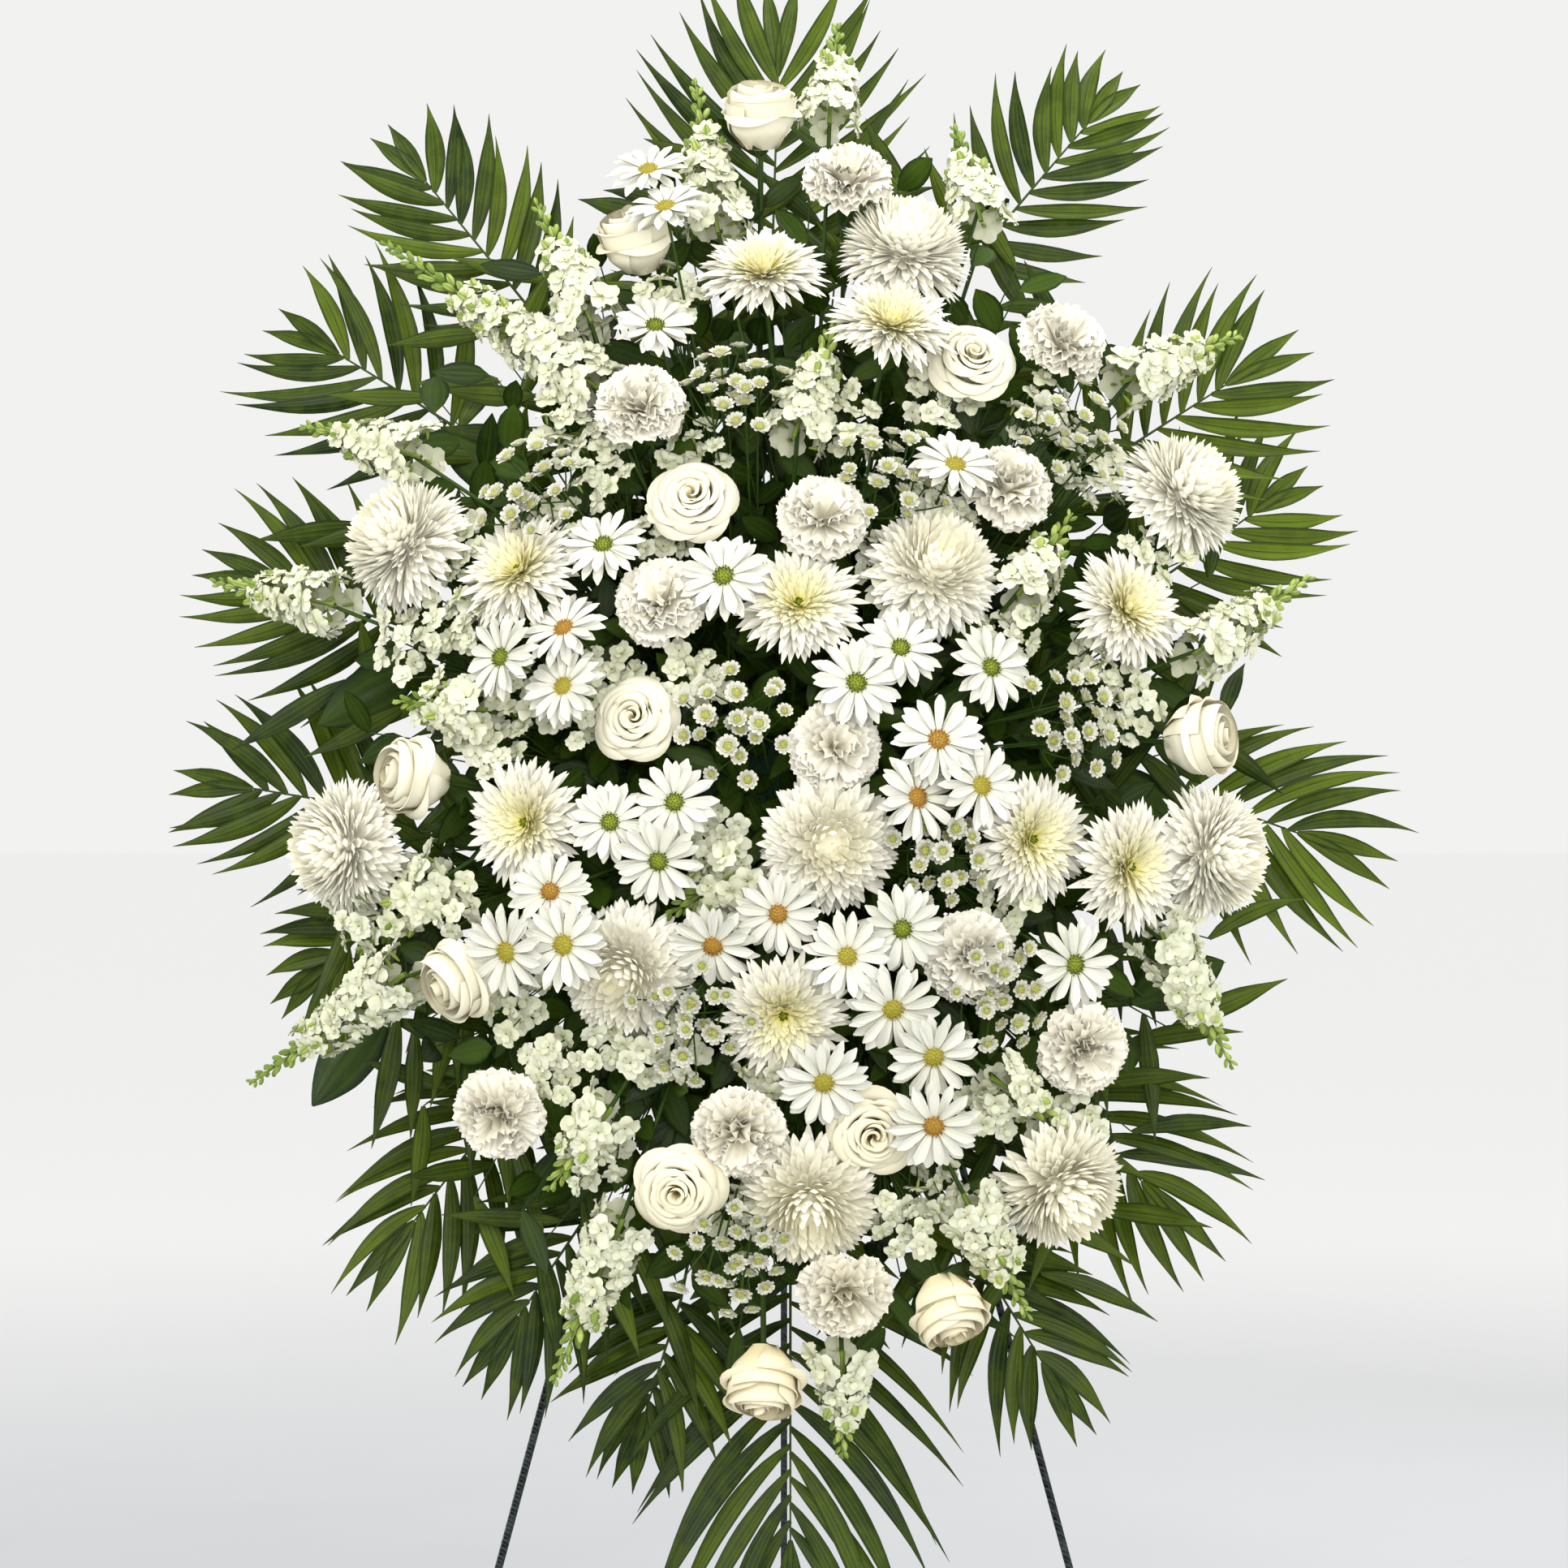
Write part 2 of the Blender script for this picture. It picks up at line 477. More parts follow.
class Sheets:
    """Gathers what one piece is made of: grids of points, with a finish and two tones for each sheet."""

    def __init__(self):
        self.points, self.quads, self.sheet, self.tone, self.finishes = [], [], [], [], []
        self.slots = []
        self.count = 0

    def add(self, grids, finish, warm=0.0, shade=0.5, closed=False):
        n, rows, cols, _ = grids.shape
        cell = np.arange(rows * cols).reshape(rows, cols)
        if closed:
            cell = np.concatenate((cell, cell[:, :1]), 1)
        quad = np.stack((cell[:-1, :-1], cell[:-1, 1:], cell[1:, 1:], cell[1:, :-1]), -1).reshape(-1, 4)
        quads = (quad[None] + (np.arange(n) * rows * cols)[:, None, None]).reshape(-1, 4) + self.count
        across, along = np.meshgrid(np.linspace(0, 1, cols), np.linspace(0, 1, rows))
        place = np.stack((across, along), -1).reshape(-1, 2)
        tones = np.stack((np.broadcast_to(warm, (n,)), np.broadcast_to(shade, (n,))), -1)
        if finish not in self.slots:
            self.slots.append(finish)
        self.points.append(grids.reshape(-1, 3))
        self.quads.append(quads)
        self.sheet.append(np.tile(place, (n, 1)))
        self.tone.append(np.repeat(tones, rows * cols, axis=0))
        self.finishes.append(np.full(len(quads), self.slots.index(finish)))
        self.count += n * rows * cols

    def piece(self, name, finishes):
        points, quads = np.concatenate(self.points), np.concatenate(self.quads)
        mesh = bpy.data.meshes.new(name)
        mesh.vertices.add(len(points))
        mesh.vertices.foreach_set("co", points.astype(np.float32).ravel())
        mesh.loops.add(quads.size)
        mesh.loops.foreach_set("vertex_index", quads.astype(np.int32).ravel())
        mesh.polygons.add(len(quads))
        mesh.polygons.foreach_set("loop_start", np.arange(0, quads.size, 4, dtype=np.int32))
        mesh.polygons.foreach_set("loop_total", np.full(len(quads), 4, dtype=np.int32))
        mesh.polygons.foreach_set("material_index", np.concatenate(self.finishes).astype(np.int32))
        mesh.polygons.foreach_set("use_smooth", np.ones(len(quads), dtype=bool))
        for layer, values in (("sheet", self.sheet), ("tone", self.tone)):
            uv = mesh.uv_layers.new(name=layer)
            uv.data.foreach_set("uv", np.concatenate(values)[quads.ravel()].astype(np.float32).ravel())
        for finish in self.slots:
            mesh.materials.append(finishes[finish])
        mesh.update(calc_edges=True)
        mesh.validate()
        piece = bpy.data.objects.new(name, mesh)
        bpy.context.scene.collection.objects.link(piece)
        return piece


RAY = ((0, 0.35), (0.25, 0.72), (0.6, 1.0), (0.88, 0.82), (1, 0.22))
SPOON = ((0, 0.40), (0.4, 0.75), (0.75, 1.0), (0.93, 0.85), (1, 0.35))
CUPPED = ((0, 0.30), (0.3, 0.80), (0.65, 1.0), (0.88, 0.92), (1, 0.62))
FAN = ((0, 0.12), (0.3, 0.35), (0.7, 0.85), (1, 1.0))
ROUNDED = ((0, 0.30), (0.30, 0.72), (0.70, 1.0), (0.88, 0.95), (0.96, 0.72), (1, 0.42))
LANCE = ((0, 0.20), (0.12, 0.60), (0.40, 1.0), (0.64, 0.82), (0.80, 0.40), (0.91, 0.14), (1, 0.02))
BROAD = ((0, 0.10), (0.12, 0.62), (0.38, 1.0), (0.65, 0.90), (0.88, 0.45), (1, 0.04))


def profile(shape, along):
    """A smooth width along a sheet from a few given ones."""
    places, widths = zip(*shape)
    fine = np.linspace(0, 1, 41)
    raw = np.interp(fine, places, widths)
    smooth = np.convolve(np.pad(raw, 3, mode="edge"), np.ones(7) / 7, "valid")
    smooth[-1], smooth[0] = raw[-1], raw[0]
    return np.interp(along, fine, smooth)


def blades(turn, start, rise, lift, length, bend, half, shape, rows, cols, cup=0.0, wrap=0.0, lip=0.0, blunt=0.0,
           ruffle=0.0, waves=2.0, notch=0.0, phase=0.0):
    """Sheets set round the local Z axis, one for each turn: each leaves the axis at a height, rises and bends."""
    turn = np.asarray(turn, float)
    n = len(turn)

    def each(value):
        return np.broadcast_to(np.asarray(value, float), (n,))[:, None, None]

    along = np.linspace(0, 1, rows)[None, :, None]
    across = np.linspace(-1, 1, cols)[None, None, :]
    widths = profile(shape, along) * each(half)
    reach = along * (1 - each(blunt) * across ** 2)
    teeth = np.where(np.arange(cols) % 2 == 0, 1.0, -1.0)[None, None, :]
    reach = reach + each(notch) * teeth * along ** 4
    bent = each(bend)
    bent = np.where(np.abs(bent) < 1e-3, 1e-3, bent)
    angle = each(lift) + bent * reach
    out = each(start) + each(length) * (np.sin(angle) - np.sin(each(lift))) / bent
    up = each(rise) + each(length) * (np.cos(each(lift)) - np.cos(angle)) / bent
    aside = across * widths
    wave = np.sin(each(waves) * across * math.pi + each(phase) + along * 1.5)
    off = each(cup) * widths * across ** 2 + each(ruffle) * along ** 2 * wave
    curl = np.clip((along - 0.55) / 0.45, 0, 1) ** 2
    off = off - each(lip) * each(length) * curl
    out = out - np.sin(angle) * off
    up = up + np.cos(angle) * off
    if np.max(wrap) > 0:
        curve = each(wrap) / np.maximum(np.abs(out), 0.0015)
        around = np.clip(aside * curve, -2.6, 2.6)
        x = out - (1 - np.cos(around)) / curve
        y = np.sin(around) / curve
    else:
        x, y = out, aside + 0 * out
    c, s = np.cos(turn)[:, None, None], np.sin(turn)[:, None, None]
    return np.stack((x * c - y * s, x * s + y * c, up + 0 * x), -1)


def placed(grids, matrix):
    """Local grids taken to the world."""
    m = np.array(matrix)
    return grids @ m[:3, :3].T + m[:3, 3]


def look(point, aim, turn=0.0, size=1.0):
    """The frame of something at a point, whose +Z looks along aim."""
    spin = aim.to_track_quat("Z", "Y").to_matrix().to_4x4() @ Matrix.Rotation(turn, 4, "Z")
    return Matrix.Translation(point) @ spin @ Matrix.Scale(size, 4)


def curve_points(path, count):
    """A smooth line through a few points."""
    knots = [2 * path[0] - path[1], *path, 2 * path[-1] - path[-2]]
    points = []
    spans = len(path) - 1
    for i in range(count):
        place = i / (count - 1) * spans
        k = min(int(place), spans - 1)
        t = place - k
        a, b, c, d = knots[k:k + 4]
        points.append(0.5 * ((2 * b) + (c - a) * t + (2 * a - 5 * b + 4 * c - d) * t ** 2
                             + (3 * b - a - 3 * c + d) * t ** 3))
    return points


def tube(sheets, path, radii, finish, sides=6, warm=0.3, shade=0.5):
    """A round stem along a path."""
    rings = []
    hint = Vector((0, 0, 1))
    for i, point in enumerate(path):
        along = (path[min(i + 1, len(path) - 1)] - path[max(i - 1, 0)]).normalized()
        side = along.cross(hint)
        if side.length < 0.05:
            side = along.cross(Vector((1, 0, 0)))
        side.normalize()
        up = side.cross(along).normalized()
        size = radii[0] + (radii[1] - radii[0]) * i / (len(path) - 1)
        rings.append([tuple(point + (side * math.cos(a) + up * math.sin(a)) * size)
                      for a in (math.tau * k / sides for k in range(sides))])
    sheets.add(np.array(rings)[None], finish, warm, shade, closed=True)


def lathe(sheets, matrix, outline, finish, sides=8, warm=0.3, shade=0.5):
    """A turned form from radii and heights."""
    turns = np.linspace(0, math.tau, sides, endpoint=False)
    rings = np.array([[(r * math.cos(a), r * math.sin(a), z) for a in turns] for r, z in outline])
    sheets.add(placed(rings[None], matrix), finish, warm, shade, closed=True)


def pips(sheets, matrix, radius, height, count, size, finish, rng):
    """The many small florets of an eye: a dome of short studs."""
    i = np.arange(count)
    share = np.sqrt((i + 0.5) / count)
    grids = []
    for k in range(count):
        r, turn = radius * share[k], GOLDEN * k
        up = height * math.sqrt(max(1 - share[k] ** 2 * 0.9, 0))
        ring = [(r * math.cos(turn) + size * math.cos(a), r * math.sin(turn) + size * math.sin(a)) for a in
                (0.4, 1.97, 3.54, 5.11)]
        lean = 1 + 0.05 * share[k]
        low = [(x, y, up - size * 0.8) for x, y in ring]
        top = [(r * math.cos(turn) * lean + (x - r * math.cos(turn)) * 0.35,
                r * math.sin(turn) * lean + (y - r * math.sin(turn)) * 0.35, up + size * 1.1) for x, y in ring]
        grids.append([low, top])
    warm = np.clip(1 - share * 1.5, 0, 1)
    sheets.add(placed(np.array(grids), matrix), finish, warm, rng.random(count), closed=True)
    lathe(sheets, matrix, ((0.0001, height * 0.95), (radius * 0.5, height * 0.82), (radius, height * 0.2),
                           (radius * 0.9, -height * 0.3)), finish, 10, 0.8)


# Blooms

def rose_petals(turn, throat, top, lip, drop, half_turn, sway, rng, rows=13, cols=13):
    """Cupped petals of one ring, for a rose of radius 1: up from the base, through the throat, out over the lip."""
    n = len(turn)
    across = np.linspace(-1, 1, cols)[None, None, :]
    along = np.linspace(0, 1, rows)[None, :, None] * (1 - 8 * sway * np.abs(across) ** 2.2)
    knots = (0, 0.30, 0.62, 0.80, 0.92, 1)
    grids = []
    for k in range(n):
        rise = rng.normal(0, sway)
        reach = lip * rng.uniform(0.85, 1.12)
        fall = drop * rng.uniform(0.6, 1.4)
        radii = (0.10 + 0.3 * throat, 0.93 * throat, throat, throat + 0.36 * reach, throat + 0.76 * reach, throat + reach)
        heights = (-0.62, -0.62 + 0.5 * (top + 0.62), top - 0.10, top + rise, top + rise - 0.2 * fall, top + rise - fall)
        fine = np.linspace(0, 1, 61)
        r, z = (np.convolve(np.pad(np.interp(fine, knots, v), 4, mode="reflect", reflect_type="odd"), np.ones(9) / 9, "valid")
                for v in (radii, heights))
        radius, height = np.interp(along[0], fine, r), np.interp(along[0], fine, z)
        side = across[0]
        over = np.clip((along[0] - 0.55) / 0.45, 0, 1) ** 2
        radius = radius + 0.05 * side - over * reach * 0.10 * np.abs(side) ** 2
        height = height - over * (0.04 + fall) * 0.9 * np.abs(side) ** 2 * rng.uniform(0.3, 1.3)
        height = height + over * 0.018 * np.sin(3.2 * side + rng.uniform(0, 6))
        angle = turn[k] + side * half_turn * (0.55 + 0.45 * np.sin(np.pi * (0.18 + 0.5 * along[0])))
        grids.append(np.stack((radius * np.cos(angle), radius * np.sin(angle), height), -1))
    return np.array(grids)


def rose(sheets, matrix, size, rng, cream, shut):
    """A rose: a tight spiral heart in rings of broad petals with rolled lips, or still half shut."""
    rings = ((5, 0.66, 0.08, 0.33, 0.17, 57), (5, 0.58, 0.22, 0.28, 0.14, 58), (4, 0.48, 0.35, 0.24, 0.12, 66),
             (4, 0.38, 0.43, 0.19, 0.09, 66), (3, 0.28, 0.48, 0.155, 0.06, 80), (3, 0.19, 0.50, 0.125, 0.04, 84),
             (2, 0.10, 0.50, 0.095, 0.02, 110))
    if shut:
        rings = ((3, 0.72, 0.20, 0.20, 0.17, 82), (3, 0.76, 0.52, 0.07, 0.02, 84),
                 (3, 0.68, 0.66, -0.10, -0.04, 84), (2, 0.50, 0.70, -0.08, -0.05, 108),
                 (2, 0.32, 0.73, -0.05, -0.04, 112), (2, 0.16, 0.75, -0.04, -0.03, 118))
    opened = rng.uniform(0.96, 1.05)
    start = rng.uniform(0, 6)
    for step, (count, throat, top, lip, drop, half) in enumerate(rings):
        turn = np.linspace(0, math.tau, count, endpoint=False) + start + step * 0.66 + rng.normal(0, 0.06, count)
        grids = rose_petals(turn, throat * opened, top, lip, drop, math.radians(half), 0.045 if shut else 0.03, rng) * size
        grids[..., :2] += rng.normal(0, 0.018 * size, (count, 1, 1, 2))
        heart = np.clip((step - 2) * 0.20, 0.05, 0.8)
        warm = np.full(count, heart) + cream * 1.1
        sheets.add(placed(grids, matrix), "rose", np.clip(warm, 0, 1), 0.15 + 0.4 * rng.random(count))
    grids = blades(GOLDEN * np.arange(5) * 1.05, size * 0.05, -size * 0.66, np.radians(2), size * 0.74,
                   np.radians(34), size * 0.12, LANCE, 6, 3)
    sheets.add(placed(grids, matrix), "stem", 0.5, 0.5)
    lathe(sheets, matrix, ((size * 0.07, -size * 0.80), (size * 0.16, -size * 0.72), (size * 0.15, -size * 0.58)),
          "stem", 8)


def football_mum(sheets, matrix, size, rng, cream):
    n = 470
    t = (np.arange(n) + 0.5) / n
    height = 1 - 1.55 * t
    rise = np.arcsin(np.clip(height, -1, 1))
    turn = GOLDEN * np.arange(n) + rng.normal(0, 0.09, n)
    front = np.clip(height, 0, 1)
    bend = np.radians(70 * front ** 0.8 + 8 - 30 * np.clip(-height, 0, 1) + rng.normal(0, 10, n))
    length = size * (0.66 + 0.13 * rng.random(n)) * (1 - 0.10 * front) * (1 + 0.12 * np.clip(0.3 - height, 0, 1))
    grids = blades(
        turn, size * 0.30 * np.cos(rise), size * (0.30 * np.sin(rise) - 0.04), rise - bend * 0.55, length, bend,
        size * (0.066 + 0.018 * rng.random(n)), SPOON, 7, 3, cup=0.45, blunt=0.05)
    warm = np.clip(0.70 * front ** 2.5 + 0.05 + cream, 0, 1)
    sheets.add(placed(grids, matrix), "football", warm, rng.random(n))
    lathe(sheets, matrix, ((0.0004, size * 0.42), (size * 0.26, size * 0.32), (size * 0.40, size * 0.02),
                           (size * 0.26, -size * 0.30), (size * 0.08, -size * 0.44), (0.0022, -size * 0.60)),
          "football", 14, 0.2, 1.0)


def disbud_mum(sheets, matrix, size, rng, cream):
    n = 330
    t = (np.arange(n) + 0.5) / n
    spread = t ** 0.55
    turn = GOLDEN * np.arange(n) + rng.normal(0, 0.09, n)
    rise = np.radians(54 - 54 * spread + rng.normal(0, 5, n))
    bend = np.radians(34 * (1 - spread) - 14 * spread + rng.normal(0, 10, n))
    length = size * (0.18 + 0.72 * spread) * rng.uniform(0.86, 1.07, n)
    grids = blades(
        turn, size * (0.05 + 0.12 * spread), size * (0.02 + 0.05 * (1 - spread)), rise, length, bend,
        size * (0.042 + 0.022 * spread) * rng.uniform(0.85, 1.15, n), SPOON, 7, 3, cup=0.45, blunt=0.06)
    warm = np.clip(1.30 - 2.1 * t, 0.04, 1)
    sheets.add(placed(grids, matrix), "disbud", np.clip(warm + cream, 0, 1), rng.random(n))
    pips(sheets, matrix, size * 0.085, size * 0.12, 16, size * 0.022, "green eye", rng)
    lathe(sheets, matrix, ((size * 0.10, size * 0.06), (size * 0.16, -size * 0.04),
                           (size * 0.10, -size * 0.14), (0.0022, -size * 0.30)), "stem", 10, 0.5)


def carnation(sheets, matrix, size, rng, cream):
    n = 64
    t = (np.arange(n) + 0.5) / n
    turn = GOLDEN * np.arange(n) + rng.normal(0, 0.2, n)
    rise = np.radians(88 - 92 * t ** 0.62 + rng.normal(0, 5, n))
    bend = np.radians(-26 - 14 * t + rng.normal(0, 12, n))
    length = size * (0.95 + 0.06 * rng.random(n)) * (1 - 0.12 * t)
    grids = blades(
        turn, size * 0.03, -size * 0.16 * (1 - t) - size * 0.02, rise + np.radians(10), length, bend,
        size * rng.uniform(0.26, 0.36, n), FAN, 8, 11, cup=rng.uniform(-0.2, 0.5, n), blunt=0.12,
        ruffle=size * rng.uniform(0.055, 0.105, n), waves=rng.uniform(2.2, 3.6, n), notch=0.022,
        phase=rng.uniform(0, 6, n))
    sheets.add(placed(grids, matrix), "carnation", np.clip(0.5 - t, 0, 1) * 0.5 + cream, rng.random(n))
    lathe(sheets, matrix, ((size * 0.20, -size * 0.22), (size * 0.24, -size * 0.42), (size * 0.17, -size * 0.85),
                           (0.0018, -size * 0.98)), "stem", 10, 0.7)


def daisy(sheets, matrix, size, rng, eye):
    n = int(rng.integers(25, 30))
    first = int(n * 0.58)
    turn = np.concatenate((np.linspace(0, math.tau, first, endpoint=False),
                           np.linspace(0.13, math.tau + 0.13, n - first, endpoint=False)))
    turn = turn + rng.normal(0, 0.035, n)
    upper = np.concatenate((np.zeros(first), np.ones(n - first)))
    rise = np.radians(5 + 10 * upper + rng.normal(0, 4, n))
    bend = np.radians(-14 + rng.normal(0, 8, n))
    grids = blades(
        turn, size * 0.16, size * (0.015 + 0.02 * upper), rise, size * (0.84 - 0.07 * upper) * rng.uniform(0.93, 1.04, n),
        bend, size * rng.uniform(0.106, 0.134, n), ROUNDED, 8, 5, cup=0.40, blunt=0.07)
    sheets.add(placed(grids, matrix), "daisy", 0.15, rng.random(n))
    pips(sheets, matrix, size * 0.235, size * 0.13, 44, size * 0.030, eye, rng)
    lathe(sheets, matrix, ((size * 0.20, 0.0), (size * 0.14, -size * 0.08), (0.0012, -size * 0.16)), "stem", 8, 0.5)


def button(sheets, matrix, size, rng):
    for n, start, rise, reach in ((11, 0.36, 12, 0.66), (9, 0.32, 44, 0.50)):
        turn = np.linspace(0, math.tau, n, endpoint=False) + rng.normal(0, 0.05, n) + rng.random()
        grids = blades(turn, size * start, 0.0, np.radians(rise + rng.normal(0, 5, n)),
                       size * reach * rng.uniform(0.94, 1.06, n), np.radians(22), size * 0.24, CUPPED, 4, 3, cup=0.5)
        sheets.add(placed(grids, matrix), "daisy", 0.35, rng.random(n))
    pips(sheets, matrix, size * 0.40, size * 0.34, 12, size * 0.11, "button eye", rng)
    lathe(sheets, matrix, ((size * 0.5, 0.0), (size * 0.42, -size * 0.25), (0.0007, -size * 0.6)), "stem", 6, 0.5)


def floret(sheets, matrix, size, rng, warm):
    for count, reach, rise in ((5, 1.0, 12), (3, 0.62, 42)):
        turn = np.linspace(0, math.tau, count, endpoint=False) + rng.uniform(0, 6)
        grids = blades(
            turn, size * 0.05, 0.0, np.radians(rise + rng.normal(0, 8, count)), size * reach * rng.uniform(0.85, 1.05, count),
            np.radians(-24 + rng.normal(0, 12, count)), size * 0.48 * reach, CUPPED, 4, 5, cup=rng.uniform(-0.2, 0.4, count),
            blunt=0.12, ruffle=size * 0.10, waves=rng.uniform(1.4, 2.4, count), phase=rng.uniform(0, 6, count))
        sheets.add(placed(grids, matrix), "stock", warm, rng.random(count))
    lathe(sheets, matrix, ((size * 0.10, size * 0.02), (size * 0.12, -size * 0.3), (size * 0.05, -size * 0.7)), "bud", 6, 0.4)


def bud(sheets, matrix, size, rng):
    lathe(sheets, matrix, ((size * 0.06, -size * 0.9), (size * 0.30, -size * 0.55), (size * 0.40, 0.0),
                           (size * 0.26, size * 0.5), (size * 0.02, size * 0.72)), "bud", 6, rng.random(), rng.random())


def spike(sheets, head, rng):
    start, end = head.points[0], head.points[-1]
    tip = end + head.aim * head.radius * 0.45
    low = start - head.aim * head.radius * 0.35
    length = (tip - low).length
    side = head.aim.cross(FORWARD)
    side = side.normalized() if side.length > 0.1 else Vector((1, 0, 0))
    front = side.cross(head.aim).normalized()
    tube(sheets, [low, low.lerp(tip, 0.5), tip], (0.0020, 0.0008), "bud", 6, 0.2)
    count = max(int(length / 0.0027), 14)
    for i in range(count):
        share = (i + 0.5) / count
        turn = GOLDEN * i + rng.normal(0, 0.2)
        out = (side * math.cos(turn) + front * math.sin(turn)).normalized()
        if share < 0.62:
            size = 0.0142 * (1 - 0.42 * share) * rng.uniform(0.8, 1.15)
            away = head.radius * (0.74 - 0.50 * share) * rng.uniform(0.85, 1.1)
            aim = (out * 0.85 + head.aim * (0.25 + 0.4 * share) + FORWARD * 0.35).normalized()
            point = low + head.aim * (length * share) + out * away
            floret(sheets, look(point, aim, rng.uniform(0, 6)), size, rng, 0.15 + 0.55 * share)
        if share > 0.45:
            size = 0.0072 * (1.35 - share) * 1.6
            aim = (out * 0.6 + head.aim).normalized()
            point = low + head.aim * (length * share) + out * head.radius * (0.36 * (1.25 - share) + 0.2 * (share < 0.62))
            bud(sheets, look(point, aim), size, rng)


# Where everything is: the same rules as the solids

class Head:
    """A bloom, a button or a spike: balls that keep others away, and its axis."""

    def __init__(self, kind, node, points, radii, aim, back, radius, stalk):
        self.kind = kind
        self.node = node
        self.points = points
        self.radii = radii
        self.aim = aim
        self.back = back
        self.radius = radius
        self.stalk = stalk

    def base(self):
        return self.points[0] - self.aim * self.back


def bloom_heads():
    heads = []
    kinds = (
        ("rose", ROSES, ROSE, 0.0), ("football_mum", FOOTBALLS, FOOTBALL, -0.008),
        ("disbud_mum", DISBUDS, DISBUD, 0.0), ("carnation", CARNATIONS, CARNATION, 0.0),
        ("daisy_spray", DAISIES, DAISY, 0.016),
    )
    for kind, nodes, (radius, share, back, stalk), lift in kinds:
        for number, places in enumerate(nodes, 1):
            for place in places:
                point = spot(place, dome(place) + lift)
                heads.append(Head(kind, f"{kind}_{number:02d}", [point], [radius * share],
                                  facing(point), back, radius, stalk))
    for number, spikes in enumerate(SPIKES, 1):
        for low, tip in spikes:
            start, end = spot(low, dome(low) - 0.004), spot(tip, max(dome(tip), 0.12) - 0.006)
            aim = (end - start).normalized()
            steps = [start.lerp(end, t) for t in (0.0, 0.36, 0.7, 1.0)]
            sizes = [SPIKE_RADIUS * s for s in (0.95, 0.9, 0.65, 0.4)]
            heads.append(Head("spike", f"stock_spikes_{number:02d}", steps, sizes, aim, 0.022, SPIKE_RADIUS, 0.0018))
    radius, share, back, stalk = BUTTON
    for number, clusters in enumerate(BUTTONS, 1):
        for middle in clusters:
            for i in range(BUTTONS_IN_CLUSTER):
                turn = math.tau * (i + 0.3 * number) / BUTTONS_IN_CLUSTER
                place = (middle[0] + 2.1 * math.cos(turn), middle[1] + 2.1 * math.sin(turn))
                point = spot(place, dome(middle) + 0.022)
                heads.append(Head("button", f"button_poms_{number:02d}", [point], [radius * share],
                                  facing(point, 0.8), back, radius, stalk))
    return heads


def settle(heads, rounds=260):
    """Pushes heads that would overlap apart, mostly in depth, as blooms are set in front of each other."""
    owner = np.array([i for i, head in enumerate(heads) for _ in head.points])
    balls = np.array([tuple(point) for head in heads for point in head.points])
    sizes = np.array([size for head in heads for size in head.radii])
    first = balls.copy()
    ease = np.array((0.35, 1.0, 0.35))
    apart = owner[:, None] != owner[None, :]
    need = sizes[:, None] + sizes[None, :] + 0.001
    count = np.bincount(owner)
    small = np.array([heads[i].kind in ("button", "daisy_spray") for i in owner])
    aside = np.where(small, 0.026, 0.018)
    forth = np.where(small, 0.09, 0.06)
    for _ in range(rounds):
        gap = balls[:, None] - balls[None, :]
        distance = np.sqrt((gap ** 2).sum(2)) + 1e-9
        short = np.where(apart, np.maximum(need - distance, 0), 0)
        push = (gap / distance[..., None] * short[..., None]).sum(1) * 0.3 * ease
        push[:, 1] -= np.where(small & (short.sum(1) > 0.0015), 0.0012, 0)
        total = np.zeros((len(heads), 3))
        np.add.at(total, owner, push)
        move = total / count[:, None] ** 0.5
        balls += move[owner]
        drift = balls - first
        drift[:, (0, 2)] = np.clip(drift[:, (0, 2)], -aside[:, None], aside[:, None])
        drift[:, 1] = np.clip(drift[:, 1], -forth, 0.035)
        balls = first + drift
        rear = FOOT_Y + balls[:, 2] * math.tan(LEAN) - 0.080 - 0.85 * sizes
        balls[:, 1] = np.minimum(balls[:, 1], rear)
    for i, head in enumerate(heads):
        head.points = [Vector(ball) for ball in balls[owner == i]]
        if len(head.points) > 1:
            head.aim = (head.points[-1] - head.points[0]).normalized()
        else:
            head.aim = facing(head.points[0], 0.8 if head.kind == "button" else 0.6)


def entries():
    """Where a stem can stand in the foam: place, and the way out."""
    found = []
    low = FOAM_UP - FOAM_HALF_HEIGHT
    rows = [low + (i + 0.5) * HOOP_PITCH + shift for i in range(6) for shift in (-0.0125, 0.0125)]
    right, up, ahead = (seat(*step) - seat(0, 0, 0) for step in ((1, 0, 0), (0, 1, 0), (0, 0, 1)))
    for row in rows:
        for i in range(-4, 5):
            found.append((seat(i * 0.0215, row, FOAM_FRONT), ahead, "front"))
        for side in (-1, 1):
            for depth in (0.085, 0.106):
                found.append((seat(side * FOAM_HALF_WIDTH, row, depth), right * side, "side"))
            for layer, depth in enumerate(FROND_ROOTS):
                found.append((seat(side * FOAM_HALF_WIDTH, row, depth), right * side, layer))
    for side in (-1, 1):
        for i in range(-4, 5):
            end = FOAM_UP + side * FOAM_HALF_HEIGHT
            for depth in (0.085, 0.106):
                found.append((seat(i * 0.0215, end, depth), up * side, "side"))
            for layer, depth in enumerate(FROND_ROOTS):
                found.append((seat(i * 0.0215, end, depth), up * side, layer))
    return found


def samples(path, step):
    points = []
    for a, b in zip(path, path[1:]):
        count = max(int((b - a).length / step), 1)
        points += [tuple(a.lerp(b, i / count)) for i in range(count)]
    points.append(tuple(path[-1]))
    return np.array(points)


def apart(entry, other):
    """The least distance between the stretches of two stems in and beside the foam."""
    first, second = (
        samples([place - out * (STEM_IN + 0.002), place + out * STEM_OUT], 0.003) for place, out, _ in (entry, other))
    gap = np.sqrt(((first[:, None] - second[None]) ** 2).sum(2)).min()
    if (entry[0] - other[0]).length < 0.0195:
        return 0
    return gap


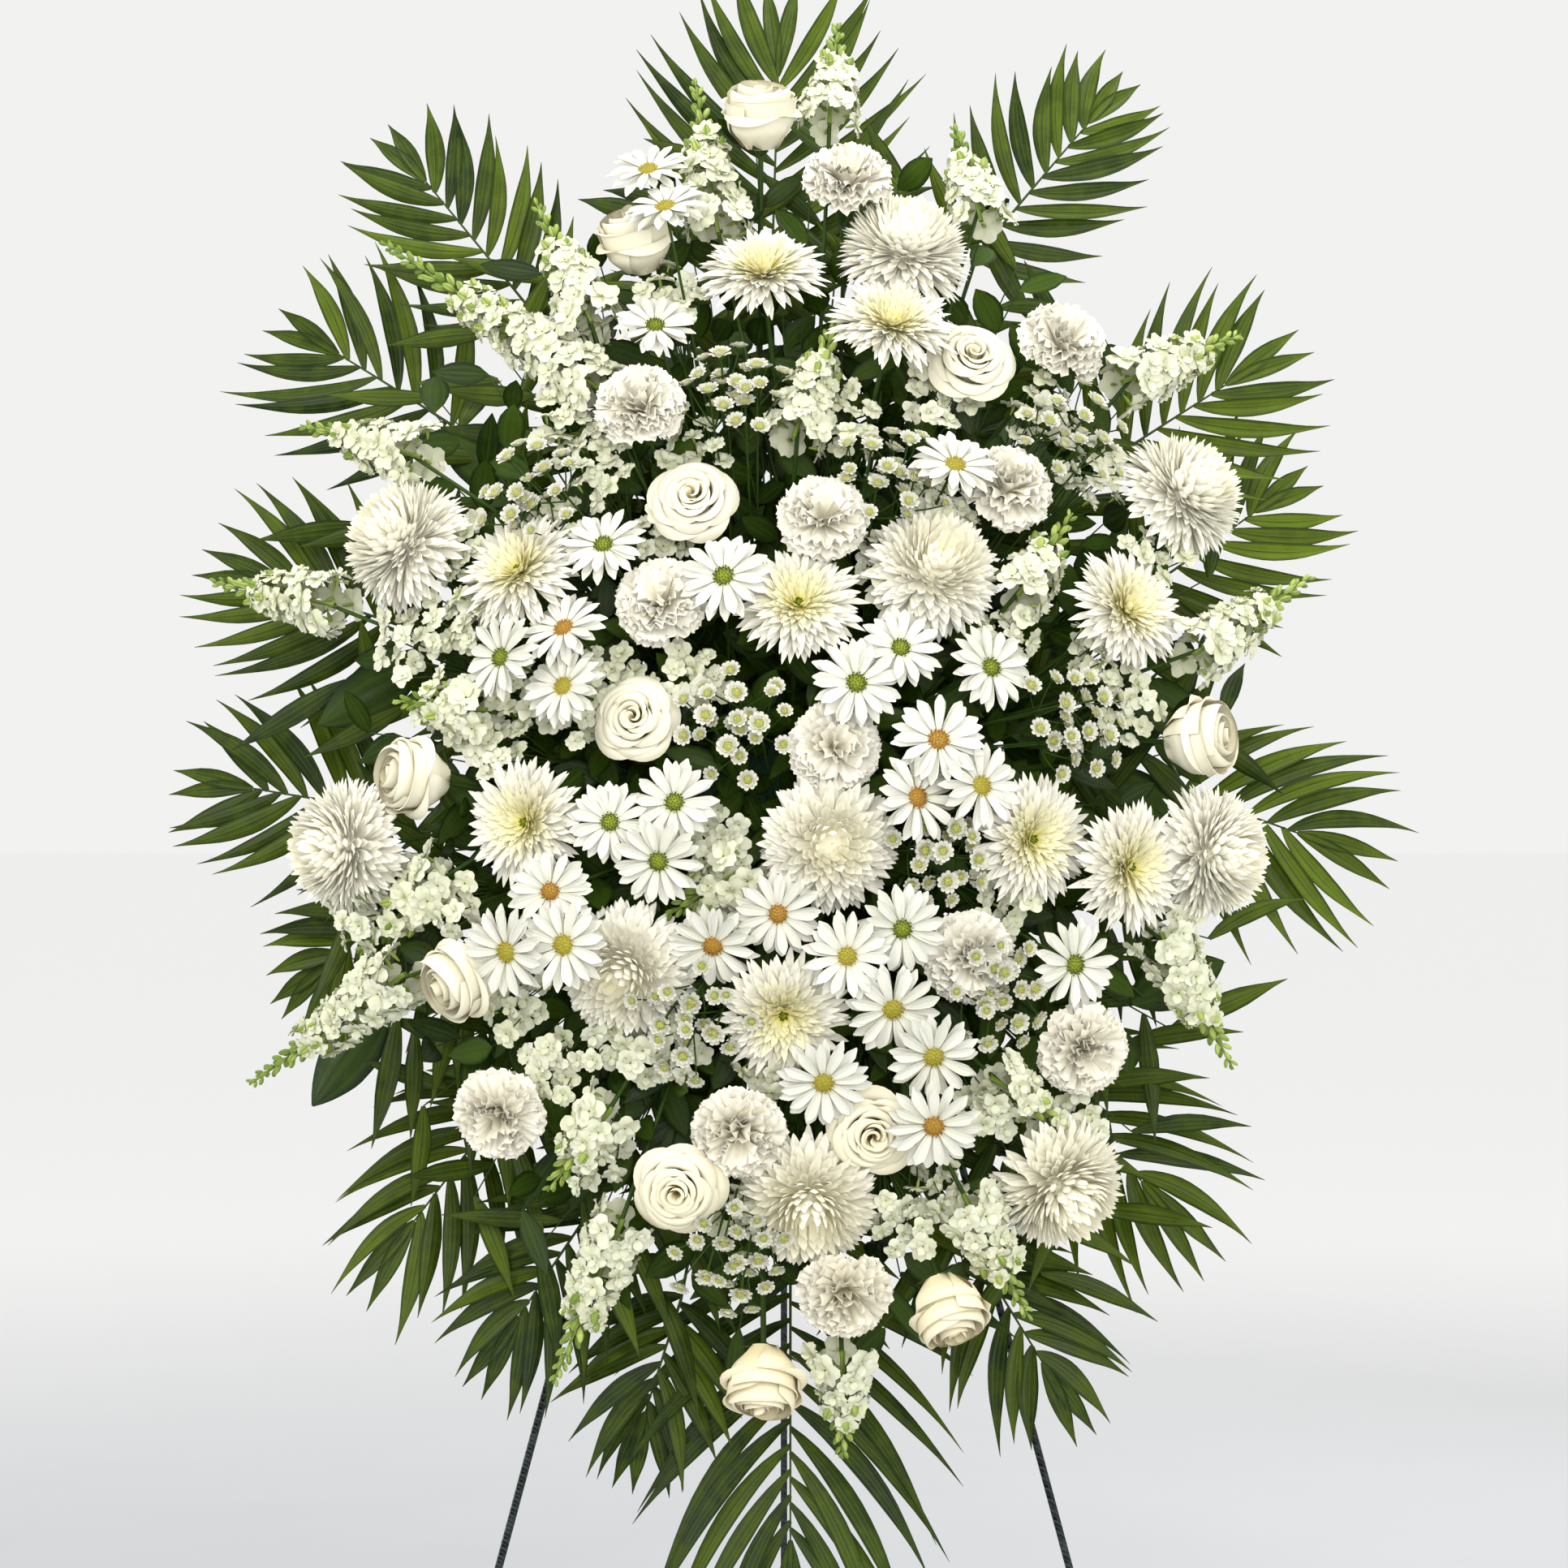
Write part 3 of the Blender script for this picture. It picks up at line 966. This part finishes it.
class Foam:
    """Hands out the places in the foam where the solids have their holes, in the same order."""

    def __init__(self):
        self.free = entries()

    def take(self, target, kinds):
        want = (target - HEART).normalized()

        def off(entry):
            return (entry[0] - HEART).normalized().angle(want) + (0 if entry[1].dot(want) > 0.3 else 1)

        best = min((entry for entry in self.free if entry[2] in kinds), key=off)
        place, out = best[0], best[1]
        self.free = [entry for entry in self.free if apart(entry, best) > 0.0085]
        return [place - out * STEM_IN, place + out * STEM_OUT]


# Leaves

def lances(sheets, base, out, wide, length, half, shape, droop, fold, rows, cols, finish, warm, shade, sweep=0.0):
    """Leaves that stand out from stems, one for each base: along out, as wide as half to each side."""
    base, out, wide = (np.array(v, float)[:, None, None, :] for v in (base, out, wide))
    n = base.shape[0]

    def each(value):
        return np.broadcast_to(np.asarray(value, float), (n,))[:, None, None, None]

    face = np.cross(out, wide)
    along = np.linspace(0, 1, rows)[None, :, None, None]
    across = np.linspace(-1, 1, cols)[None, None, :, None]
    widths = profile(shape, along) * each(half)
    grids = base + out * each(length) * along + wide * (across * widths + each(sweep) * each(length) * along ** 2)
    grids = grids + face * (np.abs(across) * widths * each(fold))
    grids = grids + np.array((0, 0, -1.0)) * each(droop) * each(length) * along ** 2
    sheets.add(grids, finish, warm, shade)


def frond(number, plan, foam, finishes):
    first, last, length, layer, curl = plan
    rng = np.random.default_rng(300 + number)
    depth = FROND_DEPTHS[layer]
    begin, end = spot(first, depth), spot(last, depth)
    root = foam.take(begin, (layer,))
    leave = begin.lerp(root[1], 0.45)
    leave.y = begin.y
    sheets = Sheets()
    line = [begin.lerp(end, share) + Vector((0, curl * share ** 2, 0)) for share in np.linspace(0, 1, 9)]
    tip = line[-1] + (line[-1] - line[-2]).normalized() * 0.012
    path = curve_points([root[0], root[1], leave, line[0]], 14)[:-1] + line + [tip]
    tube(sheets, path, (RIB_RADIUS, RIB_RADIUS * 0.35), "rib", 7, 0.4)
    pairs = max(round((end - begin).length / 0.0192) + 1, 7)
    way = (end - begin).normalized()
    light = np.clip(0.31 + 0.48 * (begin.x + 0.1) - 0.20 * (begin.z - 1.1) + 1.5 * min(begin.z - 1.0, 0), 0.05, 0.75)
    hang = 1.0 if way.z < -0.2 else 0.15
    bases, outs, wides, lengths, tones = [], [], [], [], []
    for k in range(pairs):
        share = k / (pairs - 1)
        size = length * (0.72 + 0.55 * math.sin(math.pi * (0.25 + 0.6 * share))) * 1.09
        point = begin.lerp(end, share) + Vector((0, curl * share ** 2, 0))
        along = (way + Vector((0, curl * share / (end - begin).length, 0))).normalized()
        side = along.cross(-FORWARD).normalized()
        for hand in (-1, 1):
            angle = math.radians(72 - 33 * share + rng.normal(0, 3.5))
            out = along * math.cos(angle) + side * (hand * math.sin(angle)) + FORWARD * (0.06 + rng.normal(0, 0.04))
            out.normalize()
            wide = (along - out * along.dot(out)).normalized()
            wide = (wide + FORWARD * rng.normal(0.24, 0.10)).normalized()
            bases.append(point + along * (0.003 * hand))
            outs.append(out)
            wides.append(wide)
            lengths.append(size * rng.uniform(0.90, 1.04))
            tones.append(np.clip(light + rng.normal(0, 0.18), 0, 1))
    n = len(bases)
    lances(sheets, bases, outs, wides, lengths, rng.uniform(0.0076, 0.0095, n), LANCE, rng.uniform(0.02, 0.16, n) * hang,
           rng.uniform(0.1, 0.4, n), 14, 5, "palm", tones, rng.random(n), rng.uniform(0.14, 0.34, n))
    tips = [along.lerp(side * hand, 0.12).normalized() for hand in (-1, 1)]
    lances(sheets, [tip] * 2, tips, [(side - t * side.dot(t)).normalized() for t in tips], length * 0.90, 0.0078, LANCE,
           0.08, 0.3, 10, 5, "palm", light, 0.5)
    node = f"palm_frond_{number:02d}"
    piece = sheets.piece(f"{node}_leaflets", finishes)
    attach(piece, FRAME_BODY)
    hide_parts(node)


def leafy_stem(number, plans, foam, finishes):
    rng = np.random.default_rng(400 + number)
    depth = 0.088
    tips = [(spot(base, depth), spot(tip, depth)) for base, tip in plans]
    target = sum((base for base, _ in tips), Vector()) / len(tips)
    root = foam.take(target, ("side",))
    sheets = Sheets()
    tube(sheets, root, (0.0017, 0.0017), "stem", 6)
    for base, tip in tips:
        along = (tip - base).normalized()
        bend = root[1].lerp(base, 0.6) + Vector((0, -0.01, 0))
        tube(sheets, curve_points([root[1], bend, base + along * 0.01], 10), (0.0016, 0.0012), "stem", 6)
        side = along.cross(-FORWARD).normalized()
        lances(sheets, [base], [along], [side], (tip - base).length * 1.02, LEAF_WIDTH / 2, BROAD, 0.10, -0.28, 16, 9,
               "leaf", rng.uniform(0.3, 0.6), 0.5)
    node = f"large_leaves_{number:02d}"
    piece = sheets.piece(f"{node}_blades", finishes)
    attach(piece, FRAME_BODY)
    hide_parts(node)


GREEN_EYES = ((-22, 9.5), (5.5, 7.5), (9, 10.5), (16, 9), (-8.5, -1.5), (-13.5, -3), (-9.5, -6), (8.5, -11.5),
              (22.5, -14), (-14, 18.5), (-10, 35.5), (-4.5, 16))
BROWN_EYES = ((-17, 11.5), (12, 2.5), (10.5, -0.5), (-18, -9), (-0.5, -10), (-5.5, -12.5), (11, -26.5))


def eye_of(head):
    """The eye colour by where the daisy stands in the front view."""
    near = 1 + (head.points[0].y - FACE_Y) / EYE
    place = (head.points[0].x / near / CM, (head.points[0].z - MIDDLE_UP) / near / CM)

    def off(other):
        return math.hypot(place[0] - other[0], place[1] - other[1])

    everywhere = [(off(p), "green eye") for p in GREEN_EYES] + [(off(p), "brown eye") for p in BROWN_EYES]
    distance, eye = min(everywhere)
    return eye if distance < 2.6 else "yellow eye"


def bloom(sheets, head, number, rng):
    point = head.points[0]
    matrix = look(point, head.aim, number * 2.4)
    size = head.radius
    low = np.clip((1.0 - point.z) / 0.35, 0, 1)
    at_rim = math.hypot(point.x / 0.33, (point.z - MIDDLE_UP - 0.03) / 0.47) > 0.82
    outward = Vector((point.x, 0, point.z - MIDDLE_UP)).normalized()
    if head.kind == "rose":
        turned = outward * 0.72 if at_rim else FORWARD * 0.80
        matrix = look(point, (head.aim + turned).normalized(), rng.uniform(0, 6))
        rose(sheets, matrix, size, rng, 0.8 * low, at_rim)
    elif head.kind == "football_mum":
        if at_rim:
            matrix = look(point, (head.aim + outward * 0.60).normalized(), number * 2.4)
        football_mum(sheets, matrix, size * 1.07, rng, 0.8 * low)
    elif head.kind == "disbud_mum":
        disbud_mum(sheets, matrix, size * 1.06, rng, 0.2 * low)
    elif head.kind == "carnation":
        carnation(sheets, matrix, size * 1.10, rng, 0.10 + 0.75 * low)
    elif head.kind == "daisy_spray":
        matrix = look(point, (head.aim + Vector(rng.normal(0, 0.14, 3))).normalized(), number * 2.4)
        daisy(sheets, matrix, size * rng.uniform(1.06, 1.20), rng, eye_of(head))
    elif head.kind == "button":
        button(sheets, matrix, size * 1.1, rng)
    else:
        spike(sheets, head, rng)


def flowers(foam, finishes):
    heads = bloom_heads()
    settle(heads)
    nodes = {}
    for i, head in enumerate(heads):
        nodes.setdefault(head.node, []).append(i)
    rooted = {}
    for name, members in nodes.items():
        target = sum((heads[i].base() for i in members), Vector()) / len(members)
        rooted[name] = foam.take(target, ("front", "side"))
    for order, (name, members) in enumerate(nodes.items()):
        rng = np.random.default_rng(order + 11)
        sheets = Sheets()
        root = rooted[name]
        kind = heads[members[0]].kind
        tube(sheets, root, (0.0021, 0.0021), "stem", 6)
        for i in members:
            head = heads[i]
            bend = root[1].lerp(head.base(), 0.6) - head.aim * 0.012
            goal = head.points[0] - head.aim * (head.back * 0.6 if kind != "spike" else 0)
            tube(sheets, curve_points([root[1], bend, goal], 9), (head.stalk, head.stalk), "stem", 6)
            bloom(sheets, head, i, rng)
            if kind == "button":
                more_buttons(sheets, head, root, rng)
        piece = sheets.piece(f"{name}_bloom", finishes)
        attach(piece, FRAME_BODY)
        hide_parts(name)
    return heads


def more_buttons(sheets, head, root, rng):
    """Small side buttons round each large one of the cluster."""
    side = head.aim.cross(Vector((0, 0, 1))).normalized()
    up = side.cross(head.aim)
    for k in range(5):
        turn = math.tau * (k + rng.random() * 0.6) / 5
        out = side * math.cos(turn) + up * math.sin(turn)
        point = head.points[0] + out * rng.uniform(0.016, 0.030) - head.aim * rng.uniform(0.0, 0.016)
        aim = (head.aim + out * 0.35).normalized()
        button(sheets, look(point, aim, rng.uniform(0, 6)), head.radius * rng.uniform(0.75, 1.05), rng)
        fork = head.points[0] - head.aim * 0.035
        tube(sheets, curve_points([fork, fork.lerp(point, 0.5) + out * 0.003, point - aim * 0.004], 5),
             (0.0007, 0.0006), "stem", 5)


def filler_greens(finishes):
    """Dark leafy stems that fill the spray behind its blooms."""
    rng = np.random.default_rng(77)
    sheets = Sheets()
    front, rear = 170, 76
    for i in range(front + rear + len(PALM_SPRIGS)):
        deep = i >= front
        share, turn = math.sqrt(((i % front) + 0.5) / (rear if deep else front)), GOLDEN * i
        wide, tall = (33, 45) if deep else (33, 47)
        place = (wide * share * math.cos(turn), 3 + tall * share * math.sin(turn))
        if i >= front + rear:
            place = PALM_SPRIGS[i - front - rear]
        tip = spot(place, rng.uniform(0.070, 0.100) if deep else dome(place) - rng.uniform(0.034, 0.080))
        start = HEART + (tip - HEART).normalized() * 0.10
        start = Vector((min(max(start.x, -0.09), 0.09), min(start.y, HEART.y - 0.04), start.z))
        bend = start.lerp(tip, 0.55) + Vector((rng.normal(0, 0.008), 0, rng.normal(0, 0.008)))
        path = curve_points([start, bend, tip], 10)
        tube(sheets, path, (0.0013, 0.0006), "stem", 5)
        bases, outs, wides = [], [], []
        for k in range(2, 10):
            along = (path[k] - path[k - 1]).normalized()
            side = along.cross(FORWARD)
            side = side.normalized() if side.length > 0.2 else Vector((1, 0, 0))
            turn_out = (math.pi * k + rng.normal(0, 0.25)) if deep else GOLDEN * k + i
            out = side * math.cos(turn_out) + side.cross(along) * math.sin(turn_out)
            out = (out + along * 0.7 + FORWARD * (0.1 if deep else 0.25)).normalized()
            wide = out.cross(FORWARD)
            wide = wide.normalized() if wide.length > 0.2 else out.cross(along).normalized()
            bases.append(path[k])
            outs.append(out)
            wides.append(wide)
        n = len(bases)
        if deep:
            lances(sheets, bases, outs, wides, rng.uniform(0.070, 0.105, n), rng.uniform(0.0078, 0.0098, n), LANCE,
                   rng.uniform(0.0, 0.2, n), rng.uniform(0.1, 0.4, n), 9, 5, "palm", rng.uniform(0.0, 0.45, n), 0.5,
                   rng.uniform(0.0, 0.15, n))
        else:
            lances(sheets, bases, outs, wides, rng.uniform(0.034, 0.056, n), rng.uniform(0.008, 0.013, n), BROAD,
                   rng.uniform(0.0, 0.2, n), rng.uniform(-0.4, 0.3, n), 7, 3, "leaf", rng.uniform(0.1, 0.9, n), 0.5)
    piece = sheets.piece("filler_greens", finishes)
    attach(piece, FRAME_BODY)


def filler_whites(finishes):
    """Small double florets in loose clusters on fine stems, between the large blooms."""
    rng = np.random.default_rng(58)
    sheets = Sheets()
    for place in WHITES:
        depth = dome(place)
        middle = spot(place, depth - 0.012)
        fork = middle + (HEART - middle).normalized() * 0.06
        tube(sheets, [HEART.lerp(fork, 0.55), fork], (0.0013, 0.0011), "stem", 5)
        for k in range(10):
            share, turn = math.sqrt((k + 0.4) / 10), GOLDEN * k + place[0]
            across = (place[0] + 2.7 * share * math.cos(turn), place[1] + 2.7 * share * math.sin(turn))
            point = spot(across, depth + rng.uniform(-0.016, 0.004) - 0.012 * share)
            aim = (facing(point) + Vector(rng.normal(0, 0.3, 3))).normalized()
            floret(sheets, look(point, aim, rng.uniform(0, 6)), rng.uniform(0.0090, 0.0125), rng, rng.uniform(0.05, 0.4))
            tube(sheets, curve_points([fork, fork.lerp(point, 0.6) - aim * 0.004, point - aim * 0.003], 5),
                 (0.0007, 0.0006), "stem", 4)
    piece = sheets.piece("filler_whites", finishes)
    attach(piece, FRAME_BODY)


def dress_solids(finishes):
    """The easel, cage and foam keep their solids and get their finishes."""
    kept = {"easel_leg_left": "easel", "easel_leg_right": "easel", "easel_back_leg": "easel",
            "easel_cross_bars": "easel", "foam_cage": "cage", "floral_foam": "foam"}
    for node, finish in kept.items():
        thing = bpy.data.objects[frame["nodes"][node].name if hasattr(frame["nodes"][node], "name") else node]
        thing.data.materials.clear()
        thing.data.materials.append(finishes[finish])


def make_floor():
    material = bpy.data.materials.new("pale floor")
    material.use_nodes = True
    nodes = Nodes(material.node_tree)
    shader = material.node_tree.nodes["Principled BSDF"]
    tree = material.node_tree
    where = tree.nodes.new("ShaderNodeTexCoord")
    away = tree.nodes.new("ShaderNodeVectorMath")
    away.operation = "LENGTH"
    tree.links.new(where.outputs["Object"], away.inputs[0])
    near = nodes.mix(nodes.noise(3.0), rgb(0.47, 0.485, 0.505), rgb(0.51, 0.525, 0.545))
    tone = nodes.mix(nodes.ramp(away.outputs["Value"], 1.0, 7.0), near, rgb(0.97, 0.97, 0.97))
    material.node_tree.links.new(tone, shader.inputs["Base Color"])
    shader.inputs["Roughness"].default_value = 0.9
    shader.inputs["Specular IOR Level"].default_value = 0.1
    mesh = bpy.data.meshes.new("floor")
    mesh.from_pydata([(-60, -60, -0.0005), (60, -60, -0.0005), (60, 60, -0.0005), (-60, 60, -0.0005)], [], [(0, 1, 2, 3)])
    mesh.materials.append(material)
    floor = bpy.data.objects.new("floor", mesh)
    bpy.context.scene.collection.objects.link(floor)


make_camera()
make_studio()
make_floor()
finishes = make_finishes()
dress_solids(finishes)
foam = Foam()
for number, plan in enumerate(FRONDS, 1):
    frond(number, plan, foam, finishes)
heads = flowers(foam, finishes)
for number, plans in enumerate(LEAVES, 1):
    leafy_stem(number, plans, foam, finishes)
filler_greens(finishes)
filler_whites(finishes)

bpy.context.view_layer.update()
